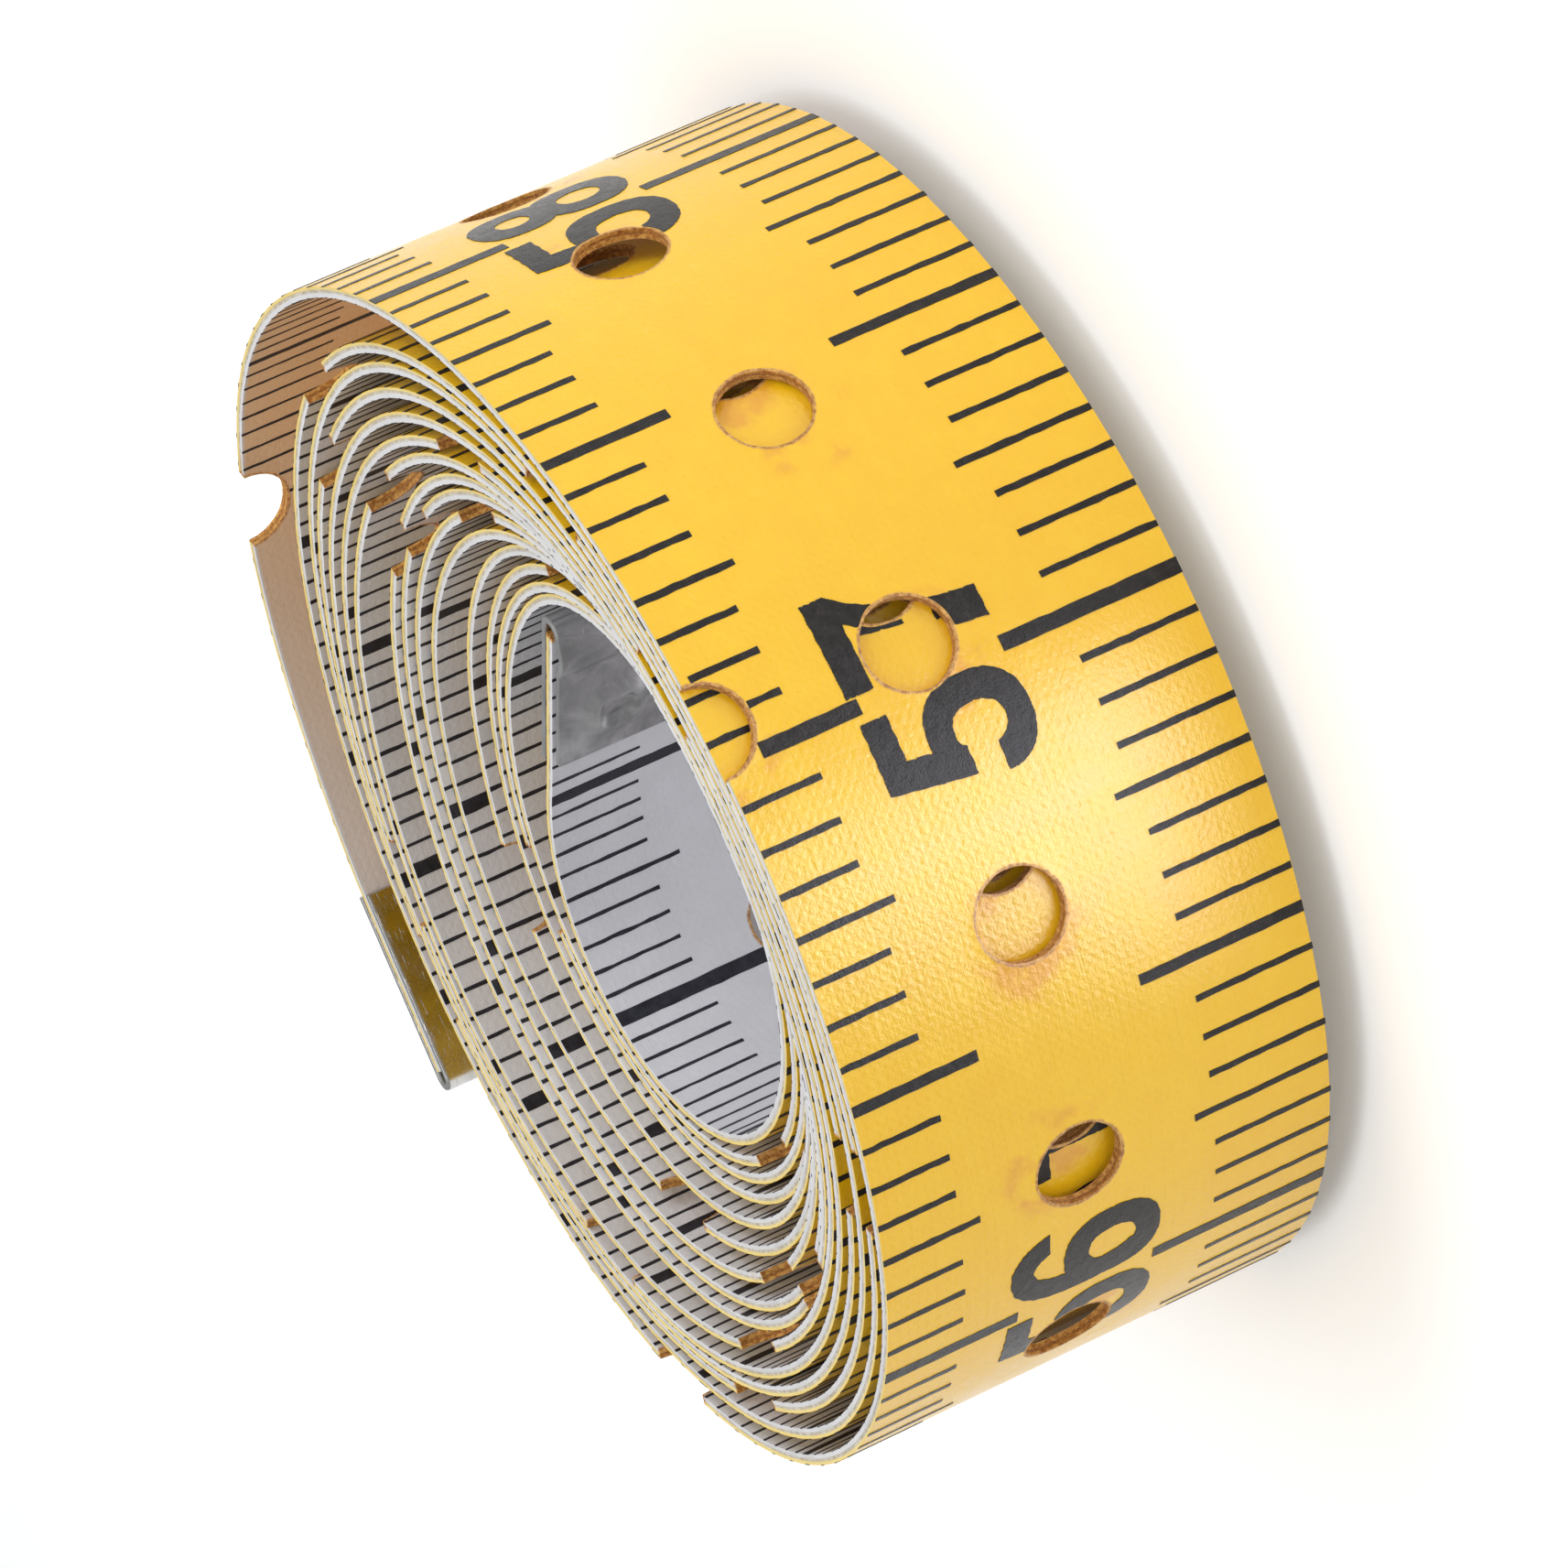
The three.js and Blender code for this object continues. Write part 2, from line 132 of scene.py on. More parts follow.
# ---- meshes ----------------------------------------------------------------------------
def mesh_object(name, co, faces, materials, face_material=None, s=None, w=None, smooth_deg=38.0):
    me = bpy.data.meshes.new(name)
    me.from_pydata([tuple(p) for p in co], [], [tuple(int(i) for i in f) for f in faces])
    for m in materials:
        me.materials.append(m)
    if face_material is not None:
        me.polygons.foreach_set("material_index", np.asarray(face_material, np.int32))
    for label, values in (("tape_s", s), ("tape_w", w)):
        if values is not None:
            me.attributes.new(label, "FLOAT", "POINT").data.foreach_set("value", np.asarray(values, np.float32))
    me.shade_smooth()
    me.set_sharp_from_angle(angle=math.radians(smooth_deg))
    me.validate()
    me.update()
    ob = bpy.data.objects.new(name, me)
    bpy.context.scene.collection.objects.link(ob)
    return ob


# ---- the ribbon ------------------------------------------------------------------------
ROWS = [0, 0.625, 1.25, 1.875, 2.5, 3.3, 4.35, 5.4] + [5.4 + 0.625 * i for i in range(1, 9)] + [11.6, 13.0, 14.5, 16.0, 17.2, 18.0]
RINGS = [(0.0, 0.004), (0.05, 0.022), (0.12, 0.014), (0.36, 0.0)]  # beyond the rim: how far, how high


def module(centre, hole, notch, first=-5.0, last=5.0):
    """The flat mesh of one length: (s, w, lift, kind, direction) per point and quads. kind is 0 inside, 3 on a punched rim."""
    pts, quads, index = [], [], {}

    def point(u, w, lift=0.0, kind=0, way=(0.0, 0.0)):
        key = (round(u, 5), round(w, 5))
        if key not in index:
            index[key] = len(pts)
            pts.append((centre + u, w, lift, kind, way[0], way[1]))
        return index[key]

    n = max(4, int(round((last - first) / 0.625)))
    us = [first + (last - first) * i / n for i in range(n + 1)]
    in_hole = lambda a, b: hole and abs(a) < 2.5 and 5.4 < b < 10.4
    in_notch = lambda a, b: notch and abs(a) < 2.5 and b < 2.5
    for i in range(n):
        for j in range(len(ROWS) - 1):
            a, b = (us[i] + us[i + 1]) / 2, (ROWS[j] + ROWS[j + 1]) / 2
            if in_hole(a, b) or in_notch(a, b):
                continue
            quads.append([point(us[i], ROWS[j]), point(us[i + 1], ROWS[j]), point(us[i + 1], ROWS[j + 1]), point(us[i], ROWS[j + 1])])
    rng = np.random.default_rng(int(round(centre * 10)) + 77)
    side = [2.5 - 0.625 * i for i in range(8)]
    for there, cw, count in ((hole, HOLE_W, 32), (notch, 0.0, 16)):
        rough = rng.normal(0, 1, (count + 1, len(RINGS)))
        rough = (rough + np.roll(rough, 1, 0) + np.roll(rough, -1, 0)) / 1.7
        wob = 0.012 * np.sin(np.arange(count + 1) * 2 * math.pi / 32 * 3 + rng.uniform(0, 6))
        if not there:
            continue
        if count == 32:
            # round the square from its corner at +u, +w
            outer = [(2.5, 2.5 - 0.625 * i) for i in range(8)] + [(2.5 - 0.625 * i, -2.5) for i in range(8)] + [(-2.5, -2.5 + 0.625 * i) for i in range(8)] + [(-2.5 + 0.625 * i, 2.5) for i in range(8)]
            angles = [math.radians(45 - 11.25 * i) for i in range(32)]
        else:
            outer = [(2.5, 0.625 * i) for i in range(4)] + [(2.5 - 0.625 * i, 2.5) for i in range(9)] + [(-2.5, 2.5 - 0.625 * i) for i in range(1, 5)]
            angles = [math.radians(11.25 * i) for i in range(17)]
        rows = []
        for k, (far, lift) in enumerate(RINGS):
            row = []
            for i, a in enumerate(angles):
                loose = 0.006 if k == 0 else 0.009 if k < 3 else 0.0
                r = HOLE_R + far + wob[i] * (k < 3) + loose * rough[i, k]
                c, d = math.cos(a), math.sin(a)
                if abs(c) < 1e-9:
                    c = 0.0
                if abs(d) < 1e-9:
                    d = 0.0
                up = lift * (1 + 0.22 * rough[i, (k + 1) % len(RINGS)] * (k in (1, 2)))
                row.append(point(r * c, cw + r * d, max(0.0, up), 3 if k == 0 else 0, (c, d)))
            rows.append(row)
        rows.append([point(u, cw + w) for u, w in outer])
        turns = len(angles) if count == 32 else len(angles) - 1
        for inner, out in zip(rows, rows[1:]):
            for i in range(turns):
                j = (i + 1) % len(angles)
                quads.append([inner[i], inner[j], out[j], out[i]])
    return np.array(pts, float), np.array(quads, int)


# the cut edge from the yellow coat to the white one: offset from the middle, depth of the recess
PROFILE = [(0.206, 0.016), (0.188, 0.0), (0.098, 0.0), (0.082, 0.026), (0.028, 0.018), (-0.028, 0.026), (-0.044, 0.0), (-0.190, 0.0), (-0.206, 0.016)]
STRIP_MATERIAL = [0, 3, 3, 1, 1, 4, 4, 2]


def flat_piece(s0, s1):
    """Points and quads of the flat ribbon between two stations, merged."""
    every, faces, count = [], [], 0
    k0 = int(math.floor((s0 - 4.1) / 10 + 1e-6))
    k1 = int(math.ceil((s1 - 4.1) / 10 - 1e-6))
    for k in range(k0, k1):
        c = HOLE_FIRST + 10 * k
        lo, hi = max(-5.0, S_FIRST - c), min(5.0, S_LAST - c)
        hole = 0 <= k <= 150
        pts, quads = module(c, hole, hole and k % 5 == 4, lo, hi)
        mid = pts[quads, 0].mean(1)
        quads = quads[(mid > s0) & (mid < s1)]
        every.append(pts)
        faces.append(quads + count)
        count += len(pts)
    pts, quads = np.concatenate(every), np.concatenate(faces)
    _, first, back = np.unique(np.round(pts[:, :2], 4), axis=0, return_index=True, return_inverse=True)
    pts, quads = pts[first], back.reshape(-1)[quads]
    used = np.unique(quads)
    renumber = np.full(len(pts), -1)
    renumber[used] = np.arange(len(used))
    return pts[used], renumber[quads]


def ribbon(name, s0, s1, materials):
    pts, quads = flat_piece(s0, s1)
    p = pts[quads][:, :, :2]
    area = ((p[:, 1, 0] - p[:, 0, 0]) * (p[:, 2, 1] - p[:, 0, 1]) - (p[:, 2, 0] - p[:, 0, 0]) * (p[:, 1, 1] - p[:, 0, 1])
            + (p[:, 2, 0] - p[:, 0, 0]) * (p[:, 3, 1] - p[:, 0, 1]) - (p[:, 3, 0] - p[:, 0, 0]) * (p[:, 2, 1] - p[:, 0, 1]))
    quads = np.where(area[:, None] < 0, quads[:, ::-1], quads)
    n = len(pts)
    s, w, lift = pts[:, 0], pts[:, 1], pts[:, 2]
    # the two faces, a touch fuller between the yarns near the edges
    co = [place(s, w, HALF + lift), place(s, w, -HALF - 0.4 * lift)]
    all_s, all_w = [s, s], [w, w]
    faces = [quads[:, ::-1], quads + n]
    mats = [np.zeros(len(quads), int), np.full(len(quads), 2)]
    # the cut edges
    a, b = quads.reshape(-1), np.roll(quads, -1, axis=1).reshape(-1)
    seen = set(zip(a.tolist(), b.tolist()))
    border = np.array([(i, j) for i, j in seen if (j, i) not in seen])
    border = border[np.lexsort((border[:, 1], border[:, 0]))]
    at = np.unique(border)
    slot = np.full(n, -1)
    slot[at] = np.arange(len(at))
    way = pts[at, 4:6].copy()
    kind = pts[at, 3].copy()
    near, far = (np.abs(pts[at, 1]) < 1e-6) & (kind == 0), np.abs(pts[at, 1] - WIDTH) < 1e-6
    way[near], way[far] = (0, 1), (0, -1)
    at_end = (kind == 0) & ~near & ~far
    way[at_end] = 0
    rng = np.random.default_rng(int(s0 * 10) + 5)
    base = 2 * n
    for level in range(1, len(PROFILE) - 1):
        off, deep = PROFILE[level]
        d = np.full(len(at), deep)
        if 3 <= level <= 5:
            d = np.clip(d + rng.normal(0, 0.011, len(at)), 0.004, 0.07)
        else:
            d = np.clip(d + np.abs(rng.normal(0, 0.004, len(at))), 0, 0.02)
        at_s, at_w = pts[at, 0] + way[:, 0] * d, pts[at, 1] + way[:, 1] * d
        lifted = pts[at, 2] * (1 if off > 0 else 0.4) * abs(off) / HALF
        co.append(place(at_s, at_w, off + np.sign(off) * lifted))
        all_s.append(at_s)
        all_w.append(at_w)
    layers = [lambda i: i] + [(lambda i, q=base + level * len(at): q + slot[i]) for level in range(len(PROFILE) - 2)] + [lambda i: i + n]
    ends = np.abs(pts[border[:, 0], 0] - pts[border[:, 1], 0]) < 1e-6
    ends &= (np.abs(pts[border[:, 0], 0] - s0) < 1e-4) | (np.abs(pts[border[:, 0], 0] - s1) < 1e-4)
    for level in range(len(PROFILE) - 1):
        up, down = layers[level], layers[level + 1]
        i, j = border[:, 0], border[:, 1]
        faces.append(np.stack([down(j), down(i), up(i), up(j)], 1))
        mats.append(np.where(ends, 1, STRIP_MATERIAL[level]))
    co = np.concatenate(co)
    return mesh_object(name, co, np.concatenate(faces), materials, np.concatenate(mats), np.concatenate(all_s), np.concatenate(all_w), 50.0)


# ---- printed figures -------------------------------------------------------------------
def oval(x, y, cx, cy, rx, ry, n=2.35):
    return (((np.abs(x - cx) / rx) ** n + (np.abs(y - cy) / ry) ** n) ** (1 / n) - 1) * min(rx, ry)


def bar(x, y, x0, x1, y0, y1):
    return np.maximum(np.maximum(x0 - x, x - x1), np.maximum(y0 - y, y - y1))


def outline(x, y, pts):
    """Signed distance to a polygon, negative inside."""
    x, y = np.broadcast_arrays(np.asarray(x, float), np.asarray(y, float))
    best, inside = np.full(x.shape, 1e9), np.zeros(x.shape, bool)
    for (ax, ay), (bx, by) in zip(pts, pts[1:] + pts[:1]):
        ex, ey = bx - ax, by - ay
        t = np.clip(((x - ax) * ex + (y - ay) * ey) / (ex * ex + ey * ey), 0, 1)
        best = np.minimum(best, np.hypot(x - ax - t * ex, y - ay - t * ey))
        if ey:
            cross = ((ay > y) != (by > y)) & (x < (y - ay) * ex / ey + ax)
            inside ^= cross
    return np.where(inside, -best, best)


def either(*parts):
    out = parts[0]
    for p in parts[1:]:
        out = np.minimum(out, p)
    return out


def ring(x, y, cx, cy, rx, ry, hx, hy, hole_n=2.3):
    return np.maximum(oval(x, y, cx, cy, rx, ry), -oval(x, y, cx, cy, hx, hy, hole_n))


FIGURE_W, FIGURE_H = 3.7, 6.0
LINE_OF_1 = [(0.45, 3.95), (0.45, 4.75), (1.15, 4.88), (1.55, 5.2), (1.80, 5.75), (1.84, 6.0), (2.78, 6.0), (2.78, 0.0), (1.60, 0.0), (1.60, 3.95)]
LEG_OF_2 = [(0.02, 0), (0.04, 0.62), (0.25, 1.22), (0.70, 1.80), (1.35, 2.36), (2.02, 2.88), (2.42, 3.38), (2.56, 4.15), (3.62, 4.15), (3.55, 3.45), (3.28, 2.92), (2.72, 2.32), (2.05, 1.78), (1.62, 1.36), (1.42, 1.04), (3.64, 1.04), (3.64, 0)]
LINE_OF_4 = [(2.02, 6), (3.16, 6), (3.16, 2.28), (3.74, 2.28), (3.74, 1.30), (3.16, 1.30), (3.16, 0), (2.08, 0), (2.08, 1.30), (-0.02, 1.30), (-0.02, 2.34)]
LINE_OF_7 = [(0.08, 6), (3.66, 6), (3.66, 5.10), (3.12, 4.42), (2.62, 3.42), (2.26, 2.20), (2.06, 0.95), (1.98, 0), (0.80, 0), (0.90, 1.15), (1.20, 2.42), (1.68, 3.62), (2.16, 4.42), (2.55, 4.93), (0.08, 4.93)]


def figure(d, x, y):
    if d == 9:
        return figure(6, 3.7 - x, 6.0 - y)
    if d == 0:
        return ring(x, y, 1.85, 3.0, 1.84, 3.06, 0.76, 2.02)
    if d == 1:
        return outline(x, y, LINE_OF_1)
    if d == 2:
        top = ring(x, y, 1.83, 4.18, 1.80, 1.88, 0.74, 0.88)
        top = np.maximum(top, np.minimum(4.12 - y, np.maximum(2.4 - x, 3.9 - y)))
        return either(top, outline(x, y, LEG_OF_2))
    if d == 3:
        a = ring(x, y, 1.80, 4.42, 1.70, 1.62, 0.66, 0.66)
        a = np.maximum(a, np.minimum(1.78 - x, 4.42 - y))
        b = ring(x, y, 1.82, 1.76, 1.84, 1.80, 0.78, 0.84)
        b = np.maximum(b, np.minimum(1.80 - x, y - 1.80))
        return either(a, b, bar(x, y, 1.30, 2.3, 2.66, 3.56))
    if d == 4:
        return np.maximum(outline(x, y, LINE_OF_4), -outline(x, y, [(0.98, 2.28), (2.10, 2.28), (2.10, 4.15)]))
    if d == 5:
        flag = bar(x, y, 0.74, 3.38, 4.95, 5.98)
        back = outline(x, y, [(0.74, 5.98), (0.27, 2.72), (1.32, 2.74), (1.46, 3.2), (1.72, 5.4)])
        bowl = ring(x, y, 1.80, 1.98, 1.88, 2.00, 0.80, 1.00)
        bowl = np.maximum(bowl, -either(bar(x, y, -1, 1.25, 1.62, 2.95), bar(x, y, -1, 0.85, 1.62, 3.6)))
        return either(flag, back, bowl)
    if d == 6:
        low = ring(x, y, 1.87, 1.92, 1.82, 1.96, 0.76, 0.96)
        spine = np.maximum(oval(x, y, 1.98, 3.0, 1.96, 3.04), -oval(x, y, 2.02, 3.05, 0.90, 2.05))
        spine = np.maximum(spine, np.minimum(x - 1.55, 4.48 - y))
        return either(low, spine)
    if d == 7:
        return outline(x, y, LINE_OF_7)
    return either(ring(x, y, 1.85, 4.40, 1.70, 1.62, 0.66, 0.62), ring(x, y, 1.85, 1.72, 1.85, 1.76, 0.80, 0.80))


def spans(values, ys):
    """(low, high) of each run where values is negative along ys."""
    inside = values < 0
    flips = np.flatnonzero(inside[1:] != inside[:-1])
    cuts = [ys[i] + (ys[i + 1] - ys[i]) * values[i] / (values[i] - values[i + 1]) for i in flips]
    if inside[0]:
        cuts.insert(0, ys[0])
    if inside[-1]:
        cuts.append(ys[-1])
    return [(a, b) for a, b in zip(cuts[::2], cuts[1::2]) if b - a > 0.02]


class Ink:
    """Raised print on one face of the ribbon, as closed slabs in (s, w)."""

    def __init__(self, side):
        self.side, self.co, self.faces, self.count = side, [], [], 0
        self.low, self.high = HALF - 0.012, HALF + 0.024

    def add(self, s, w, n, faces):
        self.co.append(np.stack([s, w, n], 1))
        f = np.asarray(faces, int)
        if self.side < 0:
            f = f[:, ::-1]
        self.faces.append(f + self.count)
        self.count += len(s)

    def tick(self, at, width, w0, w1, rng, loose=0.011):
        if w1 - w0 < 0.15:
            return
        rows = max(3, int(math.ceil((w1 - w0) / 0.42)) + 1)
        ws = np.linspace(w0, w1, rows)
        ws[-1] += rng.normal(0, 0.02)
        h = width / 2
        jl, jr = rng.normal(0, loose, rows), rng.normal(0, loose, rows)
        shift = rng.normal(0, 0.012)
        bevel = 0.014
        s = np.stack([at + shift - h + jl, at + shift - h + bevel + jl, at + shift + h - bevel + jr, at + shift + h + jr], 1)
        n = np.tile([self.low, self.high, self.high, self.low], (rows, 1)).astype(float)
        n[:, 1:3] += rng.normal(0, 0.0015, (rows, 2))
        w = np.repeat(ws[:, None], 4, 1)
        faces = []
        for r in range(rows - 1):
            for j in range(4):
                k = (j + 1) % 4
                faces.append([r * 4 + j, r * 4 + 4 + j, r * 4 + 4 + k, r * 4 + k])
        faces.append([0, 1, 2, 3])
        q = (rows - 1) * 4
        faces.append([q + 3, q + 2, q + 1, q])
        self.add(s.ravel(), w.ravel(), n.ravel(), faces)

    def shape(self, f, cols, ys):
        """A slab of the shape where f(s, w) < 0, from column to column."""
        runs = [spans(f(c, ys), ys) for c in cols]
        links = []                     # per gap between columns: (run on the left, run on the right)
        for left, right in zip(runs, runs[1:]):
            pairs = [(i, j) for i, a in enumerate(left) for j, b in enumerate(right) if min(a[1], b[1]) - max(a[0], b[0]) > 0]
            parts = []
            for i, j in pairs:
                a, b = list(left[i]), list(right[j])
                more = [q for p, q in pairs if p == i]
                if len(more) > 1:
                    k = more.index(j)
                    if k:
                        a[0] = (right[more[k - 1]][1] + right[j][0]) / 2
                    if k < len(more) - 1:
                        a[1] = (right[j][1] + right[more[k + 1]][0]) / 2
                more = [p for p, q in pairs if q == j]
                if len(more) > 1:
                    k = more.index(i)
                    if k:
                        b[0] = (left[more[k - 1]][1] + left[i][0]) / 2
                    if k < len(more) - 1:
                        b[1] = (left[i][1] + left[more[k + 1]][0]) / 2
                parts.append((i, j, a, b))
            links.append(parts)
        s, w, n, faces = [], [], [], []

        def corner(c, y, high):
            s.append(c)
            w.append(y)
            n.append(self.high if high else self.low)
            return len(s) - 1

        for g, parts in enumerate(links):
            c0, c1 = cols[g], cols[g + 1]
            for i, j, a, b in parts:
                tl0, th0, tl1, th1 = corner(c0, a[0], 1), corner(c0, a[1], 1), corner(c1, b[0], 1), corner(c1, b[1], 1)
                bl0, bh0, bl1, bh1 = corner(c0, a[0], 0), corner(c0, a[1], 0), corner(c1, b[0], 0), corner(c1, b[1], 0)
                faces += [[tl0, th0, th1, tl1], [bl0, bl1, bh1, bh0], [tl0, tl1, bl1, bl0], [bh0, bh1, th1, th0]]
                if not (g and any(q[1] == i for q in links[g - 1])):
                    faces.append([bl0, bh0, th0, tl0])
                if not (g < len(links) - 1 and any(q[0] == j for q in links[g + 1])):
                    faces.append([tl1, th1, bh1, bl1])
        if s:
            self.add(np.array(s), np.array(w), np.array(n), faces)

    def build(self, name, material):
        co = np.concatenate(self.co)
        faces = np.concatenate(self.faces)
        _, first, back = np.unique(np.round(co, 5), axis=0, return_index=True, return_inverse=True)
        co, faces = co[first], back.reshape(-1)[faces]
        ok = np.array([len(set(f)) == 4 for f in faces.tolist()])
        three = [list(dict.fromkeys(f)) for f in faces[~ok].tolist()]
        polys = faces[ok].tolist() + [f for f in three if len(f) == 3]
        used = np.unique(np.concatenate([np.ravel(f) for f in polys]))
        renumber = np.full(len(co), -1)
        renumber[used] = np.arange(len(used))
        co = co[used]
        polys = [[int(renumber[i]) for i in f] for f in polys]
        return mesh_object(name, place(co[:, 0], co[:, 1], self.side * co[:, 2]), polys, [material], None, co[:, 0], co[:, 1], 30.0)


def rim_start(at, half):
    """Where a stroke that starts at the upper edge begins: below a notch, if one is there."""
    k = round((at - NOTCH_FIRST) / NOTCH_PITCH)
    gap = 0.0
    if 0 <= k <= 29:
        d = abs(at - (NOTCH_FIRST + NOTCH_PITCH * k))
        near = max(0.0, d - half)
        if near < HOLE_R + 0.09:
            gap = math.sqrt(max(0.0, (HOLE_R + 0.09) ** 2 - near**2))
    return gap


INCH = 25.4


def front_print(name, s0, s1, material):
    ink = Ink(1)
    k0, k1 = int(math.ceil(s0 / INCH * 16)), int(math.floor(s1 / INCH * 16))
    for k in range(k0, k1 + 1):
        at = k * INCH / 16
        if not s0 <= at < s1 or at < 1.2 or at > S_LAST - 0.6:
            continue
        rng = np.random.default_rng(50000 + k)
        if k % 16 == 0:
            near, far, width = 5.35, 7.1, 0.60
        elif k % 8 == 0:
            near, far, width = 4.9, 6.6, 0.44
        elif k % 4 == 0:
            near, far, width = 3.85, 5.45, 0.29
        else:
            near, far, width = 3.05, 4.7, 0.27
        ink.tick(at, width, rim_start(at, width / 2) or -0.004, near, rng)
        ink.tick(at, width, WIDTH - far, WIDTH + 0.004, rng)
    ys = np.arange(-0.12, FIGURE_H + 0.12, 0.02)
    for number in range(1, 60):
        line = number * INCH
        text = str(number)
        starts = [line - 0.27 - FIGURE_W] if len(text) == 1 else [line - 0.27 - FIGURE_W, line + 0.27]
        for ch, start in zip(text, starts):
            lo, hi = max(s0, start - 0.1), min(s1, start + FIGURE_W + 0.1)
            if hi - lo < 0.05:
                continue
            rng = np.random.default_rng(90000 + number * 10 + int(start > line))
            wave = rng.uniform(0, 6.28, 6)
            cols = sorted({round(lo, 5), round(hi, 5)} | {round(start + q, 5) for q in np.arange(-0.09, FIGURE_W + 0.1, 0.035) if lo < start + q < hi})

            def f(c, y, start=start, ch=ch, wave=wave):
                x = c - start
                v = figure(int(ch), np.full(y.shape, x), y)
                v = v + 0.010 * np.sin(9.1 * x + wave[0] + 7 * y) + 0.008 * np.sin(23 * y + wave[1] - 11 * x) + 0.006 * np.sin(41 * x + 37 * y + wave[2])
                k = round((c - HOLE_FIRST) / 10)
                hole = HOLE_R + 0.11 + 0.02 * np.sin(5 * y + wave[3]) - np.hypot(c - HOLE_FIRST - 10 * k, (11.0 - y) - HOLE_W)
                return np.maximum(v, hole)

            # the figure's height runs against w, so the columns are turned over
            back = 11.0 - ys[::-1]
            ink.shape(lambda c, w, f=f: f(c, 11.0 - w), cols, back)
    return ink.build(name, material)


def back_print(name, s0, s1, material):
    ink = Ink(-1)
    for k in range(int(math.ceil(s0)), int(math.floor(s1)) + 1):
        if not s0 <= k < s1 or k < 2 or k > 1499:
            continue
        rng = np.random.default_rng(200000 + k)
        if k % 10 == 0:
            long, width = 10.2, 0.60
        elif k % 5 == 0:
            long, width = 4.7, 0.185
        else:
            long, width = 3.6, 0.165
        if k > 1475:
            # the print runs thin towards the end
            width *= 0.82 if k % 10 else 0.5
        start = rim_start(k, width / 2)
        if k % 10 == 0:
            # a centimetre line passes a hole only where its column does
            d = abs(k - HOLE_FIRST - 10 * round((k - HOLE_FIRST) / 10))
            near = max(0.0, d - width / 2)
            if near < HOLE_R + 0.1:
                half = math.sqrt((HOLE_R + 0.1) ** 2 - near**2)
                ink.tick(k, width, start or -0.004, HOLE_W - half, rng)
                if HOLE_W + half < long - 0.2:
                    ink.tick(k, width, HOLE_W + half, long, rng)
                continue
        ink.tick(k, width, start or -0.004, long, rng)
    return ink.build(name, material) if ink.co else None


# ---- node helpers ----------------------------------------------------------------------
class Nodes:
    """Writes a material's node tree from plain arithmetic."""

    def __init__(self, name):
        self.m = bpy.data.materials.new(name)
        self.m.use_nodes = True
        self.t = self.m.node_tree
        self.t.nodes.clear()

    def new(self, kind, **given):
        n = self.t.nodes.new(kind)
        for k, v in given.items():
            setattr(n, k, v)
        return n

    def put(self, socket, value):
        if isinstance(value, Val):
            self.t.links.new(value.s, socket)
        elif isinstance(value, bpy.types.NodeSocket):
            self.t.links.new(value, socket)
        elif isinstance(value, (tuple, list)) and len(value) == 3 and socket.type == "RGBA":
            socket.default_value = (*value, 1.0)
        else:
            socket.default_value = value

    def math(self, op, *args, clamp=False):
        n = self.new("ShaderNodeMath", operation=op, use_clamp=clamp)
        for i, a in enumerate(args):
            self.put(n.inputs[i], a)
        return Val(self, n.outputs[0])

    def attribute(self, name):
        n = self.new("ShaderNodeAttribute", attribute_name=name, attribute_type="GEOMETRY")
        return Val(self, n.outputs["Fac"])

    def position(self):
        return self.new("ShaderNodeNewGeometry").outputs["Position"]

    def combine(self, x, y, z=0.0):
        n = self.new("ShaderNodeCombineXYZ")
        for i, a in enumerate((x, y, z)):
            self.put(n.inputs[i], a)
        return n.outputs[0]

    def noise(self, vector, scale, detail=3.0, rough=0.55, distortion=0.0):
        n = self.new("ShaderNodeTexNoise")
        self.put(n.inputs["Vector"], vector)
        n.inputs["Scale"].default_value = scale
        n.inputs["Detail"].default_value = detail
        n.inputs["Roughness"].default_value = rough
        n.inputs["Distortion"].default_value = distortion
        return Val(self, n.outputs["Fac"])

    def white(self, value):
        n = self.new("ShaderNodeTexWhiteNoise", noise_dimensions="1D")
        self.put(n.inputs["W"], value)
        return Val(self, n.outputs["Value"])

    def ramp(self, value, lo, hi, a=0.0, b=1.0):
        n = self.new("ShaderNodeMapRange", interpolation_type="SMOOTHSTEP", clamp=True)
        self.put(n.inputs["Value"], value)
        for k, v in (("From Min", lo), ("From Max", hi), ("To Min", a), ("To Max", b)):
            self.put(n.inputs[k], v)
        return Val(self, n.outputs["Result"])

    def mix(self, factor, a, b, blend="MIX"):
        n = self.new("ShaderNodeMix", data_type="RGBA", blend_type=blend, clamp_factor=True)
        self.put(n.inputs[0], factor)
        self.put(n.inputs[6], a)
        self.put(n.inputs[7], b)
        return n.outputs[2]

    def bump(self, height, distance, strength=1.0, normal=None):
        n = self.new("ShaderNodeBump")
        self.put(n.inputs["Height"], height)
        n.inputs["Distance"].default_value = distance
        n.inputs["Strength"].default_value = strength
        if normal is not None:
            self.t.links.new(normal, n.inputs["Normal"])
        return n.outputs[0]

    def finish(self, colour, roughness, normal=None, metallic=0.0, **fixed):
        p = self.new("ShaderNodeBsdfPrincipled")
        self.put(p.inputs["Base Color"], colour)
        self.put(p.inputs["Roughness"], roughness)
        p.inputs["Metallic"].default_value = metallic
        for k, v in fixed.items():
            self.put(p.inputs[k.replace("_", " ")], v)
        if normal is not None:
            self.t.links.new(normal, p.inputs["Normal"])
        o = self.new("ShaderNodeOutputMaterial")
        self.t.links.new(p.outputs[0], o.inputs[0])
        return self.m


